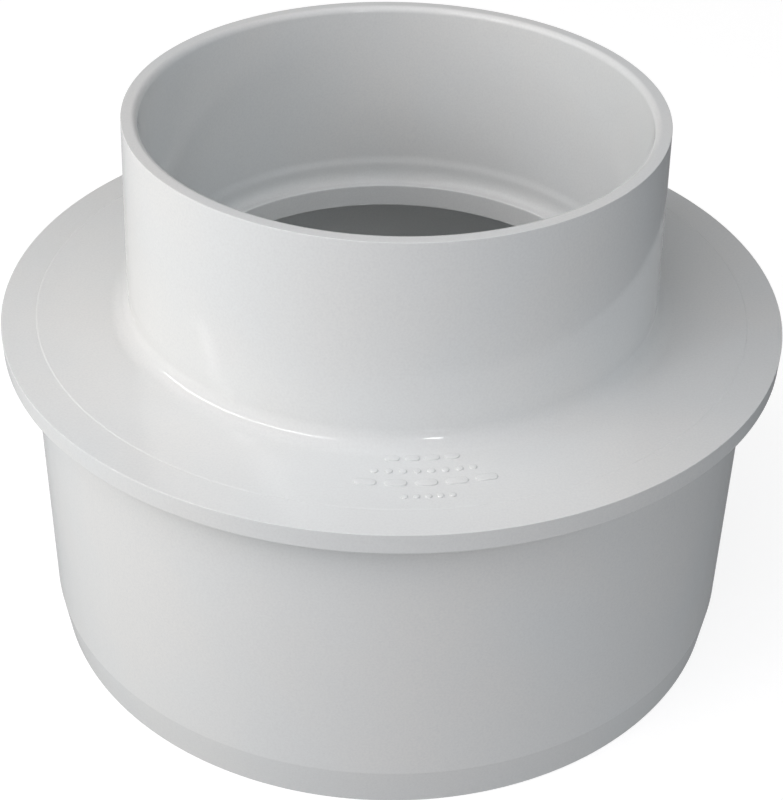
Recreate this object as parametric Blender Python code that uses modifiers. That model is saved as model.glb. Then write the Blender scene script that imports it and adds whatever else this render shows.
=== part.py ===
"""Concentric reducer: a 4 inch pipe socket on a 6 inch spigot, moulded in white PVC.

Frame: metres, +Z up.  The origin is the centre of the spigot's open end, and +Z runs along
the bore towards the socket.  The fitting is one rigid moulding with nothing that moves; it is
modelled as six sections, divided where its wall changes:

    socket_collar    the tube that a 4 inch pipe slides into
    pipe_stop        the ring at the bottom of the socket, whose ledge the pipe's end meets
    shoulder_flange  the plate between socket and spigot, with the upstand at the collar's foot
    flange_rim       the part of the flange that overhangs the spigot
    spigot_skirt     the tube that slides into a 6 inch bell
    spigot_nose      the tapered end of that tube

Every section is a turned shape: a closed profile of (radius, height) points, swept round Z.
"""
import math

import bpy

# Driving dimensions
SPIGOT_RADIUS = 0.0797          # 6 inch sewer pipe, outside
SPIGOT_WALL = 0.0046
SPIGOT_LENGTH = 0.0741          # open end to the underside of the flange
NOSE_LENGTH = 0.0095            # tapered stretch at the open end
NOSE_TAPER = 0.0012             # how much the nose narrows on the radius

FLANGE_RADIUS = 0.0859
FLANGE_THICKNESS = 0.0046
FLANGE_DRAFT = 0.0001           # the flange's edge narrows by this towards its underside
PLATE_BOSS = 0.0009             # the plate is this much thicker inside the spigot

COLLAR_HEIGHT = 0.0449          # above the flange
COLLAR_RADIUS_RIM = 0.0572      # outside, at the open rim
COLLAR_RADIUS_FOOT = 0.0584     # outside, where the fillet starts
COLLAR_FILLET = 0.0040

SOCKET_RADIUS_RIM = 0.05375     # 4 inch sewer pipe fits in here
SOCKET_RADIUS_FOOT = 0.05360
STOP_HEIGHT = 0.00665           # top of the pipe stop's band, above the flange
STOP_BORE = 0.0532              # inside the band
STOP_FILLET_WIDTH = 0.0018      # the band runs into the ledge on a quarter ellipse
STOP_FILLET_HEIGHT = 0.0034
STOP_OUTER = 0.0555             # where the ring meets the upstand
THROAT_RADIUS = 0.0502

LIP_ROUND = 0.00135             # lead-in at the socket's mouth
EDGE_ROUND = 0.0004             # moulded outer edges
BAND_ROUND = 0.0003             # top inner corner of the pipe stop's band
FLANGE_EDGE_ROUND = 0.0005
THROAT_ROUND = 0.0003
SKIRT_FILLET = 0.0030           # inside corner between spigot and plate

GAP = 0.0003                    # clearance between neighbouring sections
SEGMENTS = 72                   # flats round each turned section

# Heights and radii that follow from them
FLANGE_TOP = SPIGOT_LENGTH + FLANGE_THICKNESS
RIM_TOP = FLANGE_TOP + COLLAR_HEIGHT
STOP_TOP = FLANGE_TOP + STOP_HEIGHT
PLATE_UNDERSIDE = SPIGOT_LENGTH - PLATE_BOSS
SPIGOT_BORE = SPIGOT_RADIUS - SPIGOT_WALL
FILLET_EDGE = SPIGOT_BORE - SKIRT_FILLET

PVC_COLOUR = (0.78, 0.79, 0.79, 1.0)
PVC_ROUGHNESS = 0.28

COLLECTION_NAME = "concentric_reducer"


def clear_scene():
    """Remove whatever the open file holds."""
    for item in list(bpy.data.objects):
        bpy.data.objects.remove(item, do_unlink=True)


def arc(centre, radii, start_deg, end_deg, steps):
    """Points along an ellipse's arc, both ends included; centre and radii are (r, z)."""
    points = []
    for step in range(steps + 1):
        angle = math.radians(start_deg + (end_deg - start_deg) * step / steps)
        points.append((centre[0] + radii[0] * math.cos(angle), centre[1] + radii[1] * math.sin(angle)))
    return points


def round_arc(centre_r, centre_z, radius, start_deg, end_deg, steps=2):
    """Points along a circular arc."""
    return arc((centre_r, centre_z), (radius, radius), start_deg, end_deg, steps)


def pvc_material(node):
    """Glossy white PVC, one material for each section."""
    material = bpy.data.materials.new(node + "_pvc")
    material.use_nodes = True
    shader = material.node_tree.nodes["Principled BSDF"]
    shader.inputs["Base Color"].default_value = PVC_COLOUR
    shader.inputs["Roughness"].default_value = PVC_ROUGHNESS
    shader.inputs["Metallic"].default_value = 0.0
    material.diffuse_color = PVC_COLOUR
    return material


def turned(collection, node, profile):
    """Sweep a closed profile round Z.  The profile starts at the outside top and runs down."""
    count = len(profile)
    edges = [(index, (index + 1) % count) for index in range(count)]
    outline = bpy.data.meshes.new(node + "_profile")
    outline.from_pydata([(radius, 0.0, height) for radius, height in profile], edges, [])
    section = bpy.data.objects.new(node, outline)
    collection.objects.link(section)

    screw = section.modifiers.new("Screw", "SCREW")
    screw.axis = "Z"
    screw.angle = 2 * math.pi
    screw.steps = SEGMENTS
    screw.render_steps = SEGMENTS
    screw.use_merge_vertices = True
    screw.merge_threshold = 0.00001

    bpy.context.view_layer.update()
    depsgraph = bpy.context.evaluated_depsgraph_get()
    solid = bpy.data.meshes.new_from_object(section.evaluated_get(depsgraph))
    solid.name = node
    section.modifiers.clear()
    section.data = solid
    bpy.data.meshes.remove(outline)
    solid.shade_smooth()
    solid.set_sharp_from_angle(angle=math.radians(50))
    solid.materials.append(pvc_material(node))
    return section


def socket_collar():
    """Tube with a rounded rim outside and a lead-in round inside."""
    outer = round_arc(COLLAR_RADIUS_RIM - EDGE_ROUND, RIM_TOP - EDGE_ROUND, EDGE_ROUND, 90, 0)
    foot = [(COLLAR_RADIUS_FOOT, STOP_TOP + GAP), (SOCKET_RADIUS_FOOT, STOP_TOP + GAP)]
    lead_in = round_arc(SOCKET_RADIUS_RIM + LIP_ROUND, RIM_TOP - LIP_ROUND, LIP_ROUND, 180, 90, 3)
    return outer + foot + lead_in


def pipe_stop():
    """Ring with the throat below, a narrow ledge, and a band that grips the pipe's end."""
    outer = [(STOP_OUTER - GAP / 2, STOP_TOP), (STOP_OUTER - GAP / 2, PLATE_UNDERSIDE)]
    throat = [(THROAT_RADIUS, PLATE_UNDERSIDE)]
    throat += round_arc(THROAT_RADIUS + THROAT_ROUND, FLANGE_TOP - THROAT_ROUND, THROAT_ROUND, 180, 90)
    ledge_to_band = arc((STOP_BORE - STOP_FILLET_WIDTH, FLANGE_TOP + STOP_FILLET_HEIGHT),
                        (STOP_FILLET_WIDTH, STOP_FILLET_HEIGHT), -90, 0, 4)
    corner = round_arc(STOP_BORE + BAND_ROUND, STOP_TOP - BAND_ROUND, BAND_ROUND, 180, 90)
    return outer + throat + ledge_to_band + corner


def shoulder_flange():
    """Plate with the collar's filleted foot on top and a shallow boss below."""
    upstand = [(COLLAR_RADIUS_FOOT, STOP_TOP)]
    fillet = round_arc(COLLAR_RADIUS_FOOT + COLLAR_FILLET, FLANGE_TOP + COLLAR_FILLET,
                       COLLAR_FILLET, 180, 270, 6)
    edge = [(SPIGOT_RADIUS - GAP / 2, FLANGE_TOP), (SPIGOT_RADIUS - GAP / 2, SPIGOT_LENGTH)]
    boss = [(FILLET_EDGE - GAP / 2, SPIGOT_LENGTH), (FILLET_EDGE - GAP / 2, PLATE_UNDERSIDE)]
    inner = [(STOP_OUTER + GAP / 2, PLATE_UNDERSIDE), (STOP_OUTER + GAP / 2, STOP_TOP)]
    return upstand + fillet + edge + boss + inner


def flange_rim():
    """Overhanging ring with softened edges."""
    low_radius = FLANGE_RADIUS - FLANGE_DRAFT
    top = round_arc(FLANGE_RADIUS - FLANGE_EDGE_ROUND, FLANGE_TOP - FLANGE_EDGE_ROUND,
                    FLANGE_EDGE_ROUND, 90, 0)
    bottom = round_arc(low_radius - FLANGE_EDGE_ROUND, SPIGOT_LENGTH + FLANGE_EDGE_ROUND,
                       FLANGE_EDGE_ROUND, 0, -90)
    inner = [(SPIGOT_RADIUS + GAP / 2, SPIGOT_LENGTH), (SPIGOT_RADIUS + GAP / 2, FLANGE_TOP)]
    return top + bottom + inner


def spigot_skirt():
    """Straight tube whose inside corner curves in under the plate."""
    top = SPIGOT_LENGTH - GAP
    lip_radius = FILLET_EDGE + GAP / 2
    lip_angle = math.degrees(math.acos((lip_radius - FILLET_EDGE) / SKIRT_FILLET))
    outer = [(SPIGOT_RADIUS, top), (SPIGOT_RADIUS, NOSE_LENGTH + GAP / 2)]
    bore = [(SPIGOT_BORE, NOSE_LENGTH + GAP / 2)]
    corner = round_arc(FILLET_EDGE, PLATE_UNDERSIDE - SKIRT_FILLET, SKIRT_FILLET, 0, lip_angle, 4)
    return outer + bore + corner + [(lip_radius, top)]


def spigot_nose():
    """Tapered end of the spigot with rounded edges."""
    end_radius = SPIGOT_RADIUS - NOSE_TAPER
    outer = [(SPIGOT_RADIUS, NOSE_LENGTH - GAP / 2)]
    outer += round_arc(end_radius - EDGE_ROUND, EDGE_ROUND, EDGE_ROUND, 0, -90)
    inner = round_arc(SPIGOT_BORE + EDGE_ROUND, EDGE_ROUND, EDGE_ROUND, 270, 180)
    return outer + inner + [(SPIGOT_BORE, NOSE_LENGTH - GAP / 2)]


def build():
    """Make the six sections in a collection named for the fitting."""
    clear_scene()
    collection = bpy.data.collections.new(COLLECTION_NAME)
    bpy.context.scene.collection.children.link(collection)
    for section in (socket_collar, pipe_stop, shoulder_flange, flange_rim, spigot_skirt, spigot_nose):
        turned(collection, section.__name__, section())


build()
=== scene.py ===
"""Looks of the concentric reducer: one glossy white PVC moulding on a pale studio floor.

Each CAD section is replaced by a turned skin with the same outline and finer rounds.  The
skins meet face to face, without the CAD sections' clearance, so that the six sections read
as the single moulding that the real fitting is.  Lengths are in metres.
"""

import math

import bpy
import numpy as np
from mathutils import Matrix, Vector


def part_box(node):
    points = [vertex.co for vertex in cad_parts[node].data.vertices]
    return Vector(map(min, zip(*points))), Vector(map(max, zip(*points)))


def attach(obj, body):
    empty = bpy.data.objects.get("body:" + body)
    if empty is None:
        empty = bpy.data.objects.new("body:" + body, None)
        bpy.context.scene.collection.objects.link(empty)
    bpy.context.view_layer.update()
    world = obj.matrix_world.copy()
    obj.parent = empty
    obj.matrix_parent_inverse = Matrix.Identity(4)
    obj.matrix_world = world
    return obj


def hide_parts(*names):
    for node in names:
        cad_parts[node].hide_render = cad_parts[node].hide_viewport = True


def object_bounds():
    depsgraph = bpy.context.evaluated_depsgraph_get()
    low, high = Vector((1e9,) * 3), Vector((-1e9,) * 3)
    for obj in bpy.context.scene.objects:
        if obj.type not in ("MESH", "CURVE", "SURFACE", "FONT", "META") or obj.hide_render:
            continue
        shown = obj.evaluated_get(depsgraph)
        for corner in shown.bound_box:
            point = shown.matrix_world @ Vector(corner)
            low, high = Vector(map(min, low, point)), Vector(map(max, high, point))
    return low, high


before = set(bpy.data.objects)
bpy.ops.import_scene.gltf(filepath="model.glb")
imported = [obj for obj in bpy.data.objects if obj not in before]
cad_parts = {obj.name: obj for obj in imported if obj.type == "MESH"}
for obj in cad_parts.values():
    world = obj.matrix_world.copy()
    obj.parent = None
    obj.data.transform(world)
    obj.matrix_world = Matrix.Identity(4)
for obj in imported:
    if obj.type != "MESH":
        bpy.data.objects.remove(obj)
cad_low, cad_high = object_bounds()

MM = 0.001

# Skins
SEGMENTS = 288                  # quads round each turned skin
ARC_STEPS = 8                   # quads across a quarter round
HOLD = 0.15 * MM                # a loop this close to a round keeps the flat beside it flat
RUN_STEP = 4.0 * MM             # longest quad along a straight wall

# Rounds of the CAD sections
RIM_ROUND = 0.4 * MM
LIP_ROUND = 1.35 * MM
FOOT_FILLET = 4.0 * MM
FLANGE_EDGE_ROUND = 0.5 * MM
THROAT_ROUND = 0.3 * MM
BAND_ROUND = 0.3 * MM
PLATE_FILLET = 3.0 * MM
NOSE_ROUND = 0.4 * MM

# Where the skins differ from them
CRISP_EDGE = 0.15 * MM          # the rim's and the flange's outer edges
STOP_FILLET_WIDTH = 1.5 * MM
STOP_FILLET_HEIGHT = 3.0 * MM
BAND_RAMP = 2.6 * MM            # height over which the socket's wall eases in to the band

# Step down on the flange where the mould's halves met
WITNESS_RADIUS = 78.3 * MM
WITNESS_WIDTH = 0.36 * MM
WITNESS_DROP = 0.12 * MM

# How far the cooled moulding strays from a true circle and a true plane
OVAL = 0.08 * MM
OVAL_PHASE = 0.8                # radians, at the fitting's foot
OVAL_TWIST = 2.5                # radians more at its top
FLANGE_WARP = 0.10 * MM
WARP_PHASE = -1.1

# Generic raised marks on the flange: (radius, width, length along the arc, how many, pitch)
MARK_ROWS = (
    (62.5 * MM, 1.7 * MM, 3.0 * MM, 4, 3.9 * MM),
    (66.6 * MM, 1.5 * MM, 1.5 * MM, 8, 2.75 * MM),
    (70.3 * MM, 2.0 * MM, 4.4 * MM, 5, 5.9 * MM),
    (74.5 * MM, 1.3 * MM, 1.3 * MM, 5, 2.3 * MM),
)
MARK_AZIMUTH = math.radians(-84.0)
MARK_HEIGHT = 0.20 * MM
MARK_ROUND = 0.13 * MM
MARK_SUNK = 0.05 * MM

# Camera
CAMERA_DISTANCE = 0.40746
CAMERA_ELEVATION = math.radians(34.81)
CAMERA_ROLL = math.radians(1.36)
CAMERA_AIM_HEIGHT = 0.04908
CAMERA_AIM_X = 0.00034
CAMERA_LENS_MM = 78.71

# PVC: linear colours, gloss, and the scale of each noise in cycles a metre
PVC_COOL = (0.755, 0.775, 0.775, 1.0)
PVC_WARM = (0.775, 0.780, 0.768, 1.0)
PVC_SPECK = (0.700, 0.712, 0.715, 1.0)
PVC_IOR = 1.53
PVC_ROUGHNESS = 0.08
HAZE_ROUGHNESS = 0.03           # added where the gloss is hazy
SCUFF_ROUGHNESS = 0.04          # added in the hairline scuffs
CLOUD_SCALE = 30.0
MOTTLE_SCALE = 2200.0
HAZE_SCALE = 60.0
SCUFF_SCALE = 70.0
SCUFF_SQUEEZE = 14.0            # how much finer the scuffs are up the fitting than round it
WAVE_SCALE = 45.0
WAVE_DEPTH = 0.03 * MM
PEEL_SCALE = 800.0
PEEL_DEPTH = 0.002 * MM

# Floor and backdrop
PAPER_LIGHT = (0.36, 0.36, 0.36, 1.0)
PAPER_DARK = (0.33, 0.33, 0.33, 1.0)
PAPER_GLOW = 0.80               # backlit paper, which leaves only a faint shadow on it
BOUNCE_COLOUR = (0.12, 0.12, 0.12, 1.0)
BOUNCE_GLOW_COLOUR = (0.950, 0.971, 1.000, 1.0)
BOUNCE_GLOW = 0.284             # light that the paper throws on the fitting
INSIDE_GLOW = 0.14              # the same, under the fitting's open end
LEFT_GLOW = 2.0                 # share of that light on the lit side
RIGHT_GLOW = 0.0                # and on the shadowed side
GLOW_FADE = 0.25                # how far from the middle each share is reached
FLOOR_HALF = 6.0
FLOOR_DROP = 0.02 * MM
BACKDROP_COLOUR = (1.0, 1.0, 1.0, 1.0)
WORLD_COLOUR = (1.0, 1.0, 1.0, 1.0)
WORLD_STRENGTH = 0.15           # light that the backdrop throws on the fitting

# Tint of the strip light and the small lamp
PLAIN = (1.0, 1.0, 1.0)

# Softboxes: name, azimuth and elevation in degrees, watts, tint.  The watts and tints, and the
# bounce glow above, were found by a least-squares fit of test renders, one lamp each.
LIGHT_DISTANCE = 1.2
BOX_SIZE = (0.62, 0.52)
SOFTBOXES = (
    ("low_left", -90, 8, 2.38, (0.98, 1.00, 0.93)),
    ("key_left", -90, 32, 3.22, (1.00, 0.99, 1.00)),
    ("key_front_left", -60, 32, 3.60, (1.00, 0.98, 0.98)),
    ("high_left", -60, 58, 0.51, (1.00, 0.83, 0.79)),
    ("low_front_left", -30, 8, 1.44, (1.00, 0.93, 0.90)),
    ("front_left", -30, 32, 0.29, (1.00, 0.87, 0.96)),
    ("high_front_left", -30, 58, 2.57, (1.00, 0.98, 0.99)),
    ("overhead", 0, 88, 1.33, (1.00, 0.97, 0.97)),
    ("low_front_right", 30, 8, 0.74, (0.96, 0.95, 1.00)),
    ("front_right", 30, 32, 1.55, (0.93, 0.96, 1.00)),
    ("right", 60, 32, 1.88, (0.87, 0.93, 1.00)),
)

# Strip light that leaves the streak on the collar's fillet: the azimuth and elevation of each
# end, width, watts, tint
STRIP = ((-98, 15), (-22, 42), 0.04, 2.6, PLAIN)

# Small lamp that leaves the glint beside it: name, azimuth and elevation, size, watts, tint
GLINT = ("glint", 17, 22, (0.11, 0.09), 0.85, PLAIN)


class Section:
    """Heights and radii of a CAD section, read from its vertices."""

    def __init__(self, node):
        points = np.array([vertex.co[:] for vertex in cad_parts[node].data.vertices])
        self.heights = points[:, 2]
        self.radii = np.hypot(points[:, 0], points[:, 1])
        low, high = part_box(node)
        self.low, self.high = low.z, high.z
        self.outer = float(self.radii.max())
        self.inner = float(self.radii.min())

    def radii_at(self, height):
        """Smallest and largest radius of the vertices within a hair of a height."""
        near = np.abs(self.heights - height) < 0.02 * MM
        return float(self.radii[near].min()), float(self.radii[near].max())


collar, stop = Section("socket_collar"), Section("pipe_stop")
plate, overhang = Section("shoulder_flange"), Section("flange_rim")
skirt, nose = Section("spigot_skirt"), Section("spigot_nose")

# The frame's own sizes, with each clearance shared out between its two neighbours
FLANGE_TOP, FLANGE_LOW = overhang.high, overhang.low
FLANGE_RADIUS = overhang.outer
FLANGE_LOW_RADIUS = overhang.radii_at(FLANGE_LOW)[1] + FLANGE_EDGE_ROUND
RIM_TOP = collar.high
RIM_RADIUS = collar.radii_at(RIM_TOP)[1] + RIM_ROUND
FOOT_RADIUS = collar.outer
SOCKET_FOOT = collar.radii_at(collar.low)[0]
SOCKET_MOUTH = collar.radii_at(RIM_TOP - LIP_ROUND)[0]
STOP_TOP, PLATE_LOW = stop.high, stop.low
BAND = stop.radii_at(STOP_TOP - BAND_ROUND)[0]
THROAT = stop.inner
STOP_OUTER = (stop.outer + plate.inner) / 2
SPIGOT_RADIUS = skirt.outer
BORE = nose.inner
NOSE_TOP = (nose.high + skirt.low) / 2
NOSE_RADIUS = nose.radii_at(nose.low)[1] + NOSE_ROUND
LIGHT_TARGET = Vector((0, 0, FLANGE_TOP))


def arc(centre, radii, start_deg, end_deg, steps=ARC_STEPS):
    """Points along an ellipse's arc, both ends included; centre and radii are (r, z)."""
    angles = np.radians(np.linspace(start_deg, end_deg, steps + 1))
    return [(centre[0] + radii[0] * math.cos(a), centre[1] + radii[1] * math.sin(a)) for a in angles]


def round_arc(r, z, radius, start_deg, end_deg, steps=ARC_STEPS):
    """Points along a circular arc."""
    return arc((r, z), (radius, radius), start_deg, end_deg, steps)


def with_runs(outline):
    """The closed outline with holding loops at the ends of its straight runs, and loops between."""
    points = []
    for index, start in enumerate(outline):
        end = outline[(index + 1) % len(outline)]
        length = math.dist(start, end)
        points.append(start)
        if length < 4 * HOLD:
            continue
        steps = max(1, math.ceil((length - 2 * HOLD) / RUN_STEP))
        for share in np.linspace(HOLD / length, 1 - HOLD / length, steps + 1):
            points.append((start[0] + (end[0] - start[0]) * share, start[1] + (end[1] - start[1]) * share))
    return points


def warped(points):
    """Points moved as moulded PVC settles: slightly oval walls and a slightly wavy overhang."""
    radius = np.hypot(points[:, 0], points[:, 1])
    angle = np.arctan2(points[:, 1], points[:, 0])
    height = points[:, 2] / cad_high.z
    inward = OVAL * (0.5 + 0.5 * np.cos(2 * angle + OVAL_PHASE + OVAL_TWIST * height))
    reach = np.clip((radius - SPIGOT_RADIUS) / (FLANGE_RADIUS - SPIGOT_RADIUS), 0, 1)
    droop = FLANGE_WARP * reach ** 2 * (0.5 + 0.5 * np.cos(2 * angle + WARP_PHASE))
    moved = points.copy()
    moved[:, :2] *= ((radius - inward) / radius)[:, None]
    moved[:, 2] -= droop
    return moved


def make_mesh(name, points, faces):
    """A smooth-shaded mesh object with its hard edges marked."""
    mesh = bpy.data.meshes.new(name)
    mesh.from_pydata(points, [], faces)
    mesh.validate()
    mesh.shade_smooth()
    mesh.set_sharp_from_angle(angle=math.radians(35))
    piece = bpy.data.objects.new(name, mesh)
    bpy.context.scene.collection.objects.link(piece)
    return piece


def turned(name, outline):
    """Sweep a closed outline round Z.  The outline runs down its outer side, as in the CAD."""
    profile = np.array(with_runs(outline))
    count = len(profile)
    angles = np.linspace(0, 2 * math.pi, SEGMENTS, endpoint=False)
    points = np.empty((SEGMENTS, count, 3))
    points[:, :, 0] = np.outer(np.cos(angles), profile[:, 0])
    points[:, :, 1] = np.outer(np.sin(angles), profile[:, 0])
    points[:, :, 2] = profile[:, 1]
    faces = []
    for turn in range(SEGMENTS):
        here, after = turn * count, (turn + 1) % SEGMENTS * count
        for index in range(count):
            below = (index + 1) % count
            faces.append((here + index, here + below, after + below, after + index))
    return make_mesh(name, warped(points.reshape(-1, 3)), faces)


def collar_outline():
    """Tube with a rounded rim outside and a lead-in round inside."""
    outer = round_arc(RIM_RADIUS - CRISP_EDGE, RIM_TOP - CRISP_EDGE, CRISP_EDGE, 90, 0)
    foot = [(FOOT_RADIUS, STOP_TOP), (SOCKET_FOOT, STOP_TOP)]
    return outer + foot + round_arc(SOCKET_MOUTH + LIP_ROUND, RIM_TOP - LIP_ROUND, LIP_ROUND, 180, 90)


def band_ramp():
    """The band's inner wall easing out to the socket's, on half a cosine wave."""
    shares = np.linspace(0, 1, 9)
    return [(BAND + (SOCKET_FOOT - BAND) * (0.5 - 0.5 * math.cos(math.pi * s)),
             STOP_TOP - BAND_RAMP * (1 - s)) for s in shares]


def stop_outline():
    """Ring with the throat, the ledge, and the band above it."""
    outer = [(STOP_OUTER, STOP_TOP), (STOP_OUTER, PLATE_LOW)]
    throat_low = round_arc(THROAT + THROAT_ROUND, PLATE_LOW + THROAT_ROUND, THROAT_ROUND, 270, 180)
    throat_top = round_arc(THROAT + THROAT_ROUND, FLANGE_TOP - THROAT_ROUND, THROAT_ROUND, 180, 90)
    ledge = arc((BAND - STOP_FILLET_WIDTH, FLANGE_TOP + STOP_FILLET_HEIGHT),
                (STOP_FILLET_WIDTH, STOP_FILLET_HEIGHT), -90, 0, 12)
    return outer + throat_low + throat_top + ledge + band_ramp()


def witness_step():
    """The step's points across the flange, from its inside down to its outside."""
    shares = np.linspace(-0.5, 0.5, 9)
    return [(WITNESS_RADIUS + WITNESS_WIDTH * s,
             FLANGE_TOP - WITNESS_DROP * (0.5 + 0.5 * math.sin(math.pi * s))) for s in shares]


def plate_outline():
    """Plate with the filleted upstand above and the shallow boss below."""
    fillet = round_arc(FOOT_RADIUS + FOOT_FILLET, FLANGE_TOP + FOOT_FILLET, FOOT_FILLET, 180, 270, 16)
    edge = [(SPIGOT_RADIUS, FLANGE_TOP - WITNESS_DROP), (SPIGOT_RADIUS, FLANGE_LOW)]
    boss = [(BORE - PLATE_FILLET, FLANGE_LOW), (BORE - PLATE_FILLET, PLATE_LOW)]
    inner = [(STOP_OUTER, PLATE_LOW), (STOP_OUTER, STOP_TOP)]
    return [(FOOT_RADIUS, STOP_TOP)] + fillet + witness_step() + edge + boss + inner


def overhang_outline():
    """Ring outside the spigot's wall, with softened edges."""
    surface = FLANGE_TOP - WITNESS_DROP
    top = round_arc(FLANGE_RADIUS - CRISP_EDGE, surface - CRISP_EDGE, CRISP_EDGE, 90, 0)
    low = round_arc(FLANGE_LOW_RADIUS - CRISP_EDGE, FLANGE_LOW + CRISP_EDGE, CRISP_EDGE, 0, -90)
    return top + low + [(SPIGOT_RADIUS, FLANGE_LOW), (SPIGOT_RADIUS, surface)]


def skirt_outline():
    """Straight tube whose inside corner curves in under the plate."""
    tube = [(SPIGOT_RADIUS, FLANGE_LOW), (SPIGOT_RADIUS, NOSE_TOP), (BORE, NOSE_TOP)]
    corner = round_arc(BORE - PLATE_FILLET, PLATE_LOW - PLATE_FILLET, PLATE_FILLET, 0, 90, 12)
    return tube + corner + [(BORE - PLATE_FILLET, FLANGE_LOW)]


def nose_outline():
    """Tapered end of the spigot."""
    low = nose.low
    outer = round_arc(NOSE_RADIUS - NOSE_ROUND, low + NOSE_ROUND, NOSE_ROUND, 0, -90)
    inner = round_arc(BORE + NOSE_ROUND, low + NOSE_ROUND, NOSE_ROUND, 270, 180)
    return [(SPIGOT_RADIUS, NOSE_TOP)] + outer + inner + [(BORE, NOSE_TOP)]


def mark_layers():
    """(inset, height) of each loop of a raised mark, from its sunken foot to its top."""
    layers = [(0.0, -MARK_SUNK)]
    for angle in np.radians(np.linspace(0, 90, 5)):
        layers.append((MARK_ROUND * (1 - math.cos(angle)),
                       MARK_HEIGHT - MARK_ROUND * (1 - math.sin(angle))))
    return layers


def mark_loop(radius, azimuth, width, length, inset, height):
    """One loop of a rounded bar that follows the flange's curve."""
    half_width = width / 2 - inset
    half_straight = max(length - width, 0.0) / 2
    loop = []
    for side, start in ((1, -90), (-1, 90)):
        for angle in np.radians(np.linspace(start, start + 180, 9)):
            along = side * half_straight + half_width * math.cos(angle)
            across = half_width * math.sin(angle)
            turn = azimuth - along / radius
            reach = radius + across
            loop.append((reach * math.cos(turn), reach * math.sin(turn), FLANGE_TOP + height))
    return loop


def raised_marks():
    """Rows of plain dots and bars, in place of the moulded lettering of a real fitting."""
    points, faces = [], []
    for radius, width, length, count, pitch in MARK_ROWS:
        for index in range(count):
            azimuth = MARK_AZIMUTH + (index - (count - 1) / 2) * pitch / radius
            loops = [mark_loop(radius, azimuth, width, length, *layer) for layer in mark_layers()]
            start, size = len(points), len(loops[0])
            for loop in loops:
                points += loop
            faces.append(tuple(start + i for i in reversed(range(size))))
            for level in range(len(loops) - 1):
                low, high = start + level * size, start + (level + 1) * size
                for i in range(size):
                    after = (i + 1) % size
                    faces.append((low + i, low + after, high + after, high + i))
            top = start + (len(loops) - 1) * size
            faces.append(tuple(top + i for i in range(size)))
    return make_mesh("raised_marks", np.array(points), faces)


def noise_node(tree, place, scale, detail=2.0):
    """A noise texture over the object's own coordinates; scale is in cycles a metre."""
    texture = tree.nodes.new("ShaderNodeTexNoise")
    texture.inputs["Scale"].default_value = scale
    texture.inputs["Detail"].default_value = detail
    tree.links.new(place, texture.inputs["Vector"])
    return texture.outputs["Fac"]


def mapped(tree, value, from_low, from_high, to_low, to_high):
    """A value carried from one range to another, and held at the ends."""
    remap = tree.nodes.new("ShaderNodeMapRange")
    for name, number in (("From Min", from_low), ("From Max", from_high),
                         ("To Min", to_low), ("To Max", to_high)):
        remap.inputs[name].default_value = number
    tree.links.new(value, remap.inputs["Value"])
    return remap.outputs["Result"]


def mixed_colour(tree, share, first, second):
    """A colour between two, each a colour or a socket."""
    mix = tree.nodes.new("ShaderNodeMix")
    mix.data_type = "RGBA"
    tree.links.new(share, mix.inputs["Factor"])
    for socket, colour in ((mix.inputs[6], first), (mix.inputs[7], second)):
        if isinstance(colour, tuple):
            socket.default_value = colour
        else:
            tree.links.new(colour, socket)
    return mix.outputs[2]


def combined(tree, operation, first, second):
    """Two values added, multiplied or the like."""
    node = tree.nodes.new("ShaderNodeMath")
    node.operation = operation
    tree.links.new(first, node.inputs[0])
    tree.links.new(second, node.inputs[1])
    return node.outputs[0]


def bumped(tree, height, distance, before=None):
    """A normal disturbed by a height; distance is the height's full depth in metres."""
    bump = tree.nodes.new("ShaderNodeBump")
    bump.inputs["Strength"].default_value = 1.0
    bump.inputs["Distance"].default_value = distance
    tree.links.new(height, bump.inputs["Height"])
    if before is not None:
        tree.links.new(before, bump.inputs["Normal"])
    return bump.outputs["Normal"]


def stretched(tree, place, scale):
    """Coordinates scaled unevenly, so that a noise over them comes out as streaks."""
    mapping = tree.nodes.new("ShaderNodeMapping")
    mapping.inputs["Scale"].default_value = scale
    tree.links.new(place, mapping.inputs["Vector"])
    return mapping.outputs["Vector"]


def pvc_material():
    """Glossy white rigid PVC: faint clouding, fine mottle, soft waviness and hairline scuffs."""
    material = bpy.data.materials.new("white_pvc")
    material.use_nodes = True
    tree = material.node_tree
    shader = tree.nodes["Principled BSDF"]
    shader.inputs["IOR"].default_value = PVC_IOR
    place = tree.nodes.new("ShaderNodeTexCoord").outputs["Object"]

    cloud = noise_node(tree, place, CLOUD_SCALE)
    mottle = noise_node(tree, place, MOTTLE_SCALE, detail=1.0)
    colour = mixed_colour(tree, mapped(tree, cloud, 0.35, 0.65, 0.0, 1.0), PVC_COOL, PVC_WARM)
    colour = mixed_colour(tree, mapped(tree, mottle, 0.35, 0.75, 0.0, 0.5), colour, PVC_SPECK)
    tree.links.new(colour, shader.inputs["Base Color"])

    haze = noise_node(tree, place, HAZE_SCALE)
    scuff = noise_node(tree, stretched(tree, place, (1.0, 1.0, SCUFF_SQUEEZE)), SCUFF_SCALE, detail=3.0)
    dull = mapped(tree, haze, 0.3, 0.7, PVC_ROUGHNESS, PVC_ROUGHNESS + HAZE_ROUGHNESS)
    roughness = combined(tree, "ADD", dull, mapped(tree, scuff, 0.55, 0.8, 0.0, SCUFF_ROUGHNESS))
    tree.links.new(roughness, shader.inputs["Roughness"])

    normal = bumped(tree, noise_node(tree, place, WAVE_SCALE, detail=0.0), WAVE_DEPTH)
    normal = bumped(tree, noise_node(tree, place, PEEL_SCALE), PEEL_DEPTH, normal)
    tree.links.new(normal, shader.inputs["Normal"])
    return material


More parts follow.
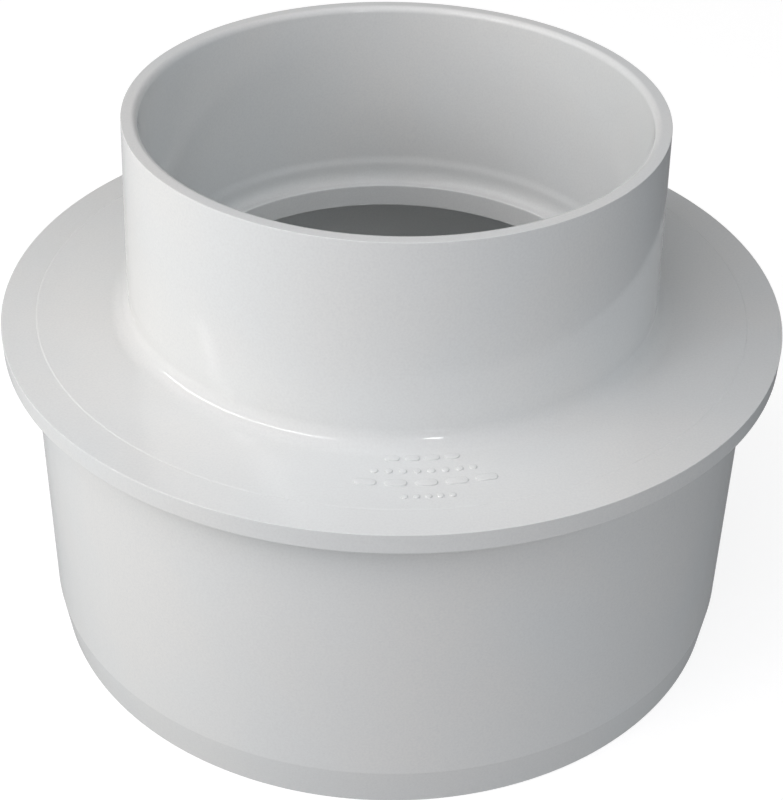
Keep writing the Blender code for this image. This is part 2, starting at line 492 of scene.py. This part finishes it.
def seen_or_bounced(tree, seen, bounced, output):
    """One shader for what the camera sees, and another for the light thrown on the fitting."""
    mix = tree.nodes.new("ShaderNodeMixShader")
    tree.links.new(tree.nodes.new("ShaderNodeLightPath").outputs["Is Camera Ray"], mix.inputs[0])
    tree.links.new(bounced.outputs[0], mix.inputs[1])
    tree.links.new(seen.outputs[0], mix.inputs[2])
    tree.links.new(mix.outputs[0], output.inputs["Surface"])


def floor_material():
    """White studio paper.  The light that it throws on the fitting is dimmer than it looks.

    That light fades from the lit side to the shadowed side, and is dimmer under the open end.
    """
    material = bpy.data.materials.new("studio_paper")
    material.use_nodes = True
    tree = material.node_tree
    paper = tree.nodes["Principled BSDF"]
    bounce = tree.nodes.new("ShaderNodeBsdfPrincipled")
    for shader, glow_colour in ((paper, BACKDROP_COLOUR), (bounce, BOUNCE_GLOW_COLOUR)):
        shader.inputs["Roughness"].default_value = 0.75
        shader.inputs["Specular IOR Level"].default_value = 0.2
        shader.inputs["Emission Color"].default_value = glow_colour
    paper.inputs["Emission Strength"].default_value = PAPER_GLOW
    place = tree.nodes.new("ShaderNodeTexCoord").outputs["Object"]
    grain = noise_node(tree, place, 300.0, detail=3.0)
    tree.links.new(mixed_colour(tree, grain, PAPER_LIGHT, PAPER_DARK), paper.inputs["Base Color"])
    bounce.inputs["Base Color"].default_value = BOUNCE_COLOUR
    middle = tree.nodes.new("ShaderNodeVectorMath")
    middle.operation = "LENGTH"
    tree.links.new(place, middle.inputs[0])
    glow = mapped(tree, middle.outputs["Value"], NOSE_RADIUS - MM, NOSE_RADIUS, INSIDE_GLOW, BOUNCE_GLOW)
    across = tree.nodes.new("ShaderNodeSeparateXYZ")
    tree.links.new(place, across.inputs[0])
    side = mapped(tree, across.outputs["X"], -GLOW_FADE, GLOW_FADE, LEFT_GLOW, RIGHT_GLOW)
    tree.links.new(combined(tree, "MULTIPLY", glow, side), bounce.inputs["Emission Strength"])
    seen_or_bounced(tree, paper, bounce, tree.nodes["Material Output"])
    return material


def add_floor():
    """A wide pale floor that the fitting stands on."""
    corners = [(x * FLOOR_HALF, y * FLOOR_HALF, 0) for x, y in ((-1, -1), (1, -1), (1, 1), (-1, 1))]
    mesh = bpy.data.meshes.new("studio_floor")
    mesh.from_pydata(corners, [], [(0, 1, 2, 3)])
    floor = bpy.data.objects.new("studio_floor", mesh)
    floor.location.z = cad_low.z - FLOOR_DROP
    floor.data.materials.append(floor_material())
    bpy.context.scene.collection.objects.link(floor)


def turned_towards(location, target):
    """A rotation that points an object's -Z at the target, with its +Y up."""
    return (Vector(target) - Vector(location)).to_track_quat("-Z", "Y")


def new_area_light(name, size, power, colour):
    """A rectangular light that the camera doesn't see."""
    lamp = bpy.data.lights.new(name, "AREA")
    lamp.shape = "RECTANGLE"
    lamp.size, lamp.size_y = size
    lamp.energy = power
    lamp.color = colour
    box = bpy.data.objects.new(name, lamp)
    box.visible_camera = False
    bpy.context.scene.collection.objects.link(box)
    return box


def light_place(azimuth_deg, elevation_deg):
    """A place round the fitting.  Azimuth 0 is the camera's side, and 90 is its right."""
    azimuth, elevation = math.radians(azimuth_deg), math.radians(elevation_deg)
    offset = Vector((math.sin(azimuth) * math.cos(elevation), -math.cos(azimuth) * math.cos(elevation),
                     math.sin(elevation)))
    return LIGHT_TARGET + offset * LIGHT_DISTANCE


def add_softbox(name, azimuth_deg, elevation_deg, size, power, colour):
    """A soft light aimed at the fitting.  It leaves no reflection of itself in the gloss."""
    box = new_area_light(name, size, power, colour)
    box.visible_glossy = False
    box.location = light_place(azimuth_deg, elevation_deg)
    box.rotation_mode = "QUATERNION"
    box.rotation_quaternion = turned_towards(box.location, LIGHT_TARGET)
    return box


def add_glint(name, azimuth_deg, elevation_deg, size, power, colour):
    """A lamp that shows only as its reflection in the gloss."""
    box = add_softbox(name, azimuth_deg, elevation_deg, size, power, colour)
    box.visible_glossy, box.visible_diffuse = True, False


def add_strip(name, start, end, width, power, colour):
    """A narrow lamp between two places, facing the fitting, that shows only in the gloss."""
    first, last = light_place(*start), light_place(*end)
    along = (last - first).normalized()
    middle = (first + last) / 2
    back = middle - LIGHT_TARGET
    back = (back - back.dot(along) * along).normalized()
    box = new_area_light(name, ((last - first).length, width), power, colour)
    turn = Matrix((along, back.cross(along), back)).transposed().to_4x4()
    box.matrix_world = Matrix.Translation(middle) @ turn
    box.visible_diffuse = False


def add_world():
    """A white backdrop for the camera, and a dim even fill for the fitting."""
    world = bpy.data.worlds.new("studio")
    world.use_nodes = True
    tree = world.node_tree
    fill = tree.nodes["Background"]
    fill.inputs["Color"].default_value = WORLD_COLOUR
    fill.inputs["Strength"].default_value = WORLD_STRENGTH
    backdrop = tree.nodes.new("ShaderNodeBackground")
    backdrop.inputs["Color"].default_value = BACKDROP_COLOUR
    seen_or_bounced(tree, backdrop, fill, tree.nodes["World Output"])
    bpy.context.scene.world = world


def add_camera():
    """A camera in front of the fitting, looking down at it."""
    data = bpy.data.cameras.new("camera")
    data.lens = CAMERA_LENS_MM
    data.clip_start, data.clip_end = 0.01, 50.0
    camera = bpy.data.objects.new("camera", data)
    aim = Vector((CAMERA_AIM_X, 0.0, CAMERA_AIM_HEIGHT))
    back = Vector((0.0, -math.cos(CAMERA_ELEVATION), math.sin(CAMERA_ELEVATION)))
    tilt = Matrix.Rotation(math.pi / 2 - CAMERA_ELEVATION, 4, "X")
    roll = Matrix.Rotation(CAMERA_ROLL, 4, "Z")
    camera.matrix_world = Matrix.Translation(aim + back * CAMERA_DISTANCE) @ tilt @ roll
    bpy.context.scene.collection.objects.link(camera)
    bpy.context.scene.camera = camera


def add_skins():
    """One skin for each CAD section, and the raised marks on the plate."""
    pvc = pvc_material()
    outlines = {
        "socket_collar": collar_outline,
        "pipe_stop": stop_outline,
        "shoulder_flange": plate_outline,
        "flange_rim": overhang_outline,
        "spigot_skirt": skirt_outline,
        "spigot_nose": nose_outline,
    }
    pieces = [raised_marks()]
    for node, outline in outlines.items():
        skin = turned(node + "_skin", outline())
        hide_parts(node)
        pieces.append(skin)
    for piece in pieces:
        piece.data.materials.append(pvc)
        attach(piece, "root")


add_camera()
add_floor()
add_world()
for box_name, box_azimuth, box_elevation, box_power, box_tint in SOFTBOXES:
    add_softbox(box_name, box_azimuth, box_elevation, BOX_SIZE, box_power, box_tint)
add_strip("strip", *STRIP)
add_glint(*GLINT)
add_skins()
bpy.context.scene.view_settings.view_transform = "Standard"
